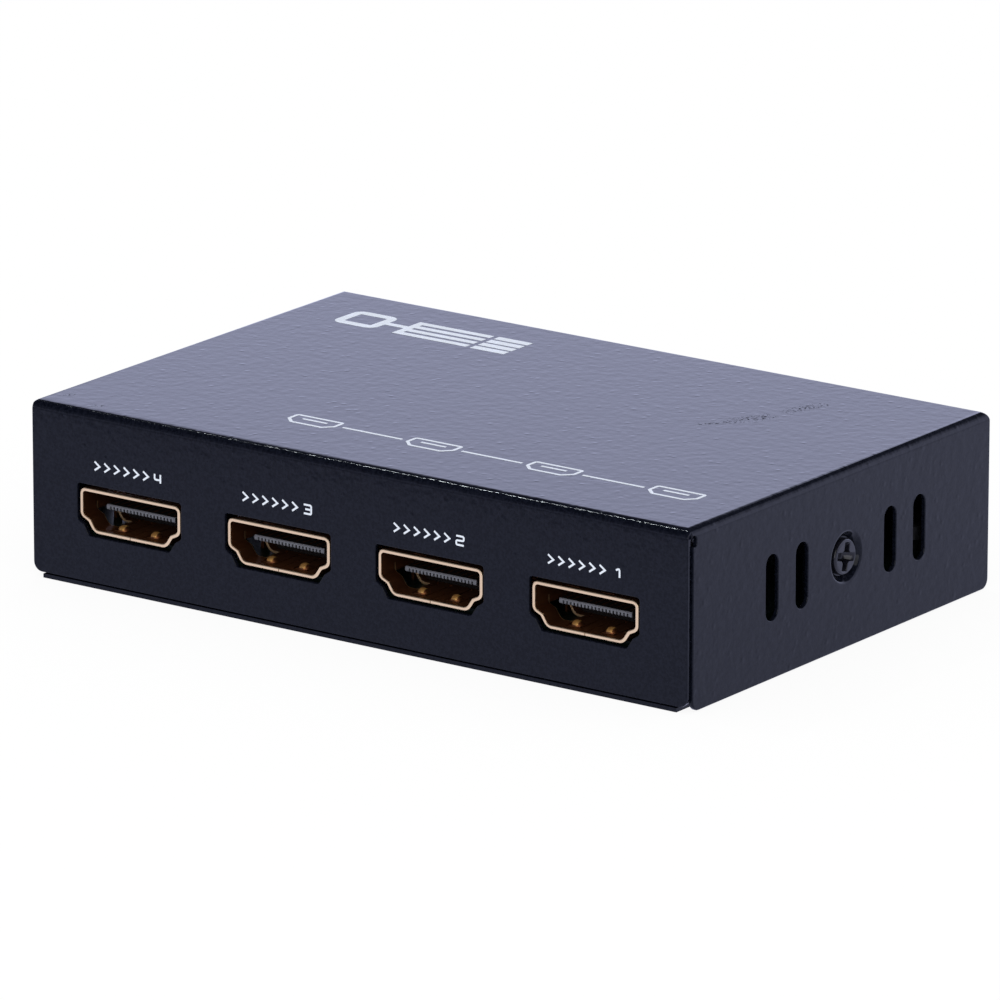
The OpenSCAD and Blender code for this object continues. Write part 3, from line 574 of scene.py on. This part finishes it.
def output_marks(material):
    """A row of chevrons and a plain number over each output."""
    label_left, label_right, label_z, label_h = -5.05, 5.1, 14.55, 1.3
    stroke_w, corner_r = 0.23, 0.2
    chevron_w, chevron_pitch, chevron_count = 0.75, 1.45, 6
    digit = label_h - stroke_w
    case_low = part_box("top_cover")[0]
    foot, head = label_z + stroke_w / 2, label_z + label_h - stroke_w / 2
    marks = Marks()
    for i in OUTPUTS:
        low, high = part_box(f"output_socket_shell_{i}")
        middle = (low.x + high.x) / 2 / MM
        for k in range(chevron_count):
            x = middle + label_left + k * chevron_pitch
            marks.stroke([(x, foot), (x + chevron_w, (foot + head) / 2), (x, head)], stroke_w)
        left = middle + label_right - stroke_w / 2 - digit
        for path in NUMERALS[i]:
            placed = [(left + u * digit, foot + v * digit) for u, v in path]
            marks.stroke(eased(placed, corner_r), stroke_w)
    # Turns the marks upright, with their plane on the front panel
    upright = Matrix(((1, 0, 0, 0), (0, 0, -1, case_low.y), (0, 1, 0, 0), (0, 0, 0, 1)))
    marks.piece("output_marks", upright, material)


def split_mark(marks, left, foot):
    """A framed source whose line parts into four at an upright bar, each with a square end."""
    source_l, frame_w, frame_r = 6.4, 1.2, 0.9
    line_w, bar_left, branch_gap, branch_end = 1.0, 9.3, 1.65, 20.4
    end_gap, end_l, end_w = 0.7, 5.0, 1.2
    height = (len(OUTPUTS) - 1) * branch_gap + line_w
    middle = foot + height / 2
    bar = left + bar_left + line_w / 2
    inset = frame_w / 2
    near, far = left + inset, left + source_l - inset
    low, high = foot + inset, foot + height - inset
    frame_path = [(near, low), (far, low), (far, high), (near, high)]
    marks.stroke(eased(frame_path, frame_r, closed=True), frame_w, closed=True)
    marks.stroke([(left + source_l, middle), (left + bar_left, middle)], line_w)
    marks.stroke([(bar, foot), (bar, foot + height)], line_w)
    end_left = left + branch_end + end_gap
    for k in range(len(OUTPUTS)):
        y = foot + line_w / 2 + k * branch_gap
        marks.stroke([(bar + line_w / 2, y), (left + branch_end, y)], line_w)
        marks.stroke([(end_left, y), (end_left + end_l, y)], end_w)


def port_row(marks, left, foot):
    """Four socket outlines, each with its tongue, and lines that link them."""
    port_w, port_h, pitch, line_w = 6.6, 2.9, 17.3, 0.42
    chamfer, corner_r = 1.1, 0.3
    tongue_inset, tongue_rise, link_gap = 1.5, 1.75, 1
    outline = [(chamfer, 0), (port_w - chamfer, 0), (port_w, chamfer)]
    outline += [(port_w, port_h), (0, port_h), (0, chamfer)]
    tongue, link = foot + tongue_rise, foot + port_h / 2
    for k in range(len(OUTPUTS)):
        x = left + k * pitch
        placed = [(x + u, foot + v) for u, v in outline]
        marks.stroke(eased(placed, corner_r, closed=True), line_w, closed=True)
        marks.stroke([(x + tongue_inset, tongue), (x + port_w - tongue_inset, tongue)], line_w)
        if k < len(OUTPUTS) - 1:
            marks.stroke([(x + port_w + link_gap, link), (x + pitch - link_gap, link)], line_w)


def top_marks(material):
    """Marks on the top: the splitting line near the rear edge and the row of sockets near the front."""
    split_left, split_rear = 7.9, 13.2
    row_left, row_front = 30.1, 10.2
    low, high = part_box("top_cover")
    left, front, rear = low.x / MM, low.y / MM, high.y / MM
    marks = Marks()
    split_mark(marks, left + split_left, rear - split_rear)
    port_row(marks, left + row_left, front + row_front)
    marks.piece("top_marks", Matrix.Translation((0, 0, high.z)), material)


# Studio

def looking(place, aim):
    """Pose of a camera or a light at one place that looks at another."""
    return Matrix.Translation(place) @ (aim - place).to_track_quat("-Z", "Y").to_matrix().to_4x4()


def add_camera():
    """Camera at the photograph's place."""
    data = bpy.data.cameras.new("camera")
    data.lens = CAMERA_LENS
    data.sensor_width = SENSOR
    data.clip_end = FARTHEST
    camera = new_object("camera", data)
    roll = Matrix.Rotation(math.radians(CAMERA_ROLL), 4, "Z")
    camera.matrix_world = looking(CAMERA_PLACE * MM, CAMERA_AIM * MM) @ roll
    bpy.context.scene.camera = camera
    bpy.context.scene.view_settings.view_transform = "Standard"


def mirrored_level(nodes):
    """Strength of the studio that shiny surfaces see in each direction, where Y and Z run from -1 to 1."""
    horizon, overhead, dim_from, dim_to = 1.355, 0.05, 0.34, 0.6
    front_low, front_high, front_from, front_to = 0.5, 0.12, 0.06, 0.3
    ahead_y, behind_y = -0.2, 0.4
    way = nodes.place("Generated")
    height = nodes.axis("Z", way)
    level = nodes.remap(height, dim_from, dim_to, horizon, overhead)
    ahead = nodes.remap(height, front_from, front_to, front_low, front_high)
    return nodes.product(level, nodes.remap(nodes.axis("Y", way), ahead_y, behind_y, ahead, 1.0))


def add_world():
    """White to the camera, even to dull surfaces, and to shiny ones cool, dim overhead and in front."""
    even = 0.95
    world = bpy.data.worlds.new("studio")
    world.use_nodes = True
    bpy.context.scene.world = world
    nodes = Nodes(world.node_tree)
    rays = nodes.node("LightPath").outputs
    shiny = nodes.greatest(rays["Is Glossy Ray"], rays["Is Transmission Ray"])
    mirrored = nodes.node("Background", {"Color": COOL, "Strength": mirrored_level(nodes)})
    plain = nodes.node("Background", {"Color": WHITE, "Strength": even})
    white = nodes.node("Background", {"Color": WHITE, "Strength": 1.0})
    sky = nodes.mix(shiny, plain.outputs[0], mirrored.outputs[0])
    sky = nodes.mix(rays["Is Camera Ray"], sky, white.outputs[0])
    nodes.node("OutputWorld", {"Surface": sky})


def floor_finish():
    """White to the camera but for a soft shadow, and cool white in reflections, dimmer to the front."""
    whiteness = 0.92
    near_y, far_y, near_level, far_level = -30 * MM, 90 * MM, 0.77, 0.955
    dim_y, lit_y, dim = -98 * MM, -84 * MM, 0.55
    nodes = Finish("pale_floor")
    rays = nodes.node("LightPath").outputs
    along = nodes.axis("Y")
    level = nodes.product(
        nodes.remap(along, near_y, far_y, near_level, far_level),
        nodes.remap(along, dim_y, lit_y, dim, 1.0),
    )
    shade = nodes.node("BsdfDiffuse", {"Color": FLOOR}).outputs["BSDF"]
    white = nodes.node("Emission", {"Color": WHITE, "Strength": 1.0}).outputs["Emission"]
    cool = nodes.node("Emission", {"Color": COOL, "Strength": level}).outputs["Emission"]
    surface = nodes.mix(nodes.product(rays["Is Camera Ray"], whiteness), shade, white)
    surface = nodes.mix(rays["Is Glossy Ray"], surface, cool)
    nodes.node("OutputMaterial", {"Surface": surface})
    return nodes.material


def add_floor():
    """Pale floor just under the part, sizes in metres."""
    half, drop = 6.0, 0.05 * MM
    corners = [(-half, -half, -drop), (half, -half, -drop), (half, half, -drop), (-half, half, -drop)]
    data = bpy.data.meshes.new("floor")
    data.from_pydata(corners, [], [(0, 1, 2, 3)])
    data.materials.append(floor_finish())
    floor = new_object("floor", data)


def add_light(name, place, size, power, colour=(1, 1, 1)):
    """Square soft light that faces the part, in metres and watts."""
    data = bpy.data.lights.new(name, "AREA")
    data.color = colour
    data.size = size
    data.energy = power
    light = new_object(name, data)
    light.matrix_world = looking(Vector(place), Vector((0, 0, 0)))


def add_lights():
    """A small light from the upper left for glints, and a broad fill from the camera's side."""
    add_light("glint", place=(-1.98, 0.03, 3.0), size=0.09, power=5.4, colour=(0.88, 0.96, 1.0))
    add_light("fill", place=(0.62, -1.05, 0.45), size=1.0, power=5.0)


dress_nodes()
ease_edges("top_cover", width=0.12)
for shell in SHELLS:
    ease_edges(shell, width=0.12, marked=rim_marks(shell))
ease_edges("side_screws", width=0.08, sharp=50)
ease_edges("power_jack_housing", width=0.08)
ink = plain_finish("white_ink", INK, roughness=0.5, specular=0.3, grain=0.2, depth=2)
output_marks(ink)
top_marks(ink)
add_camera()
add_world()
add_floor()
add_lights()
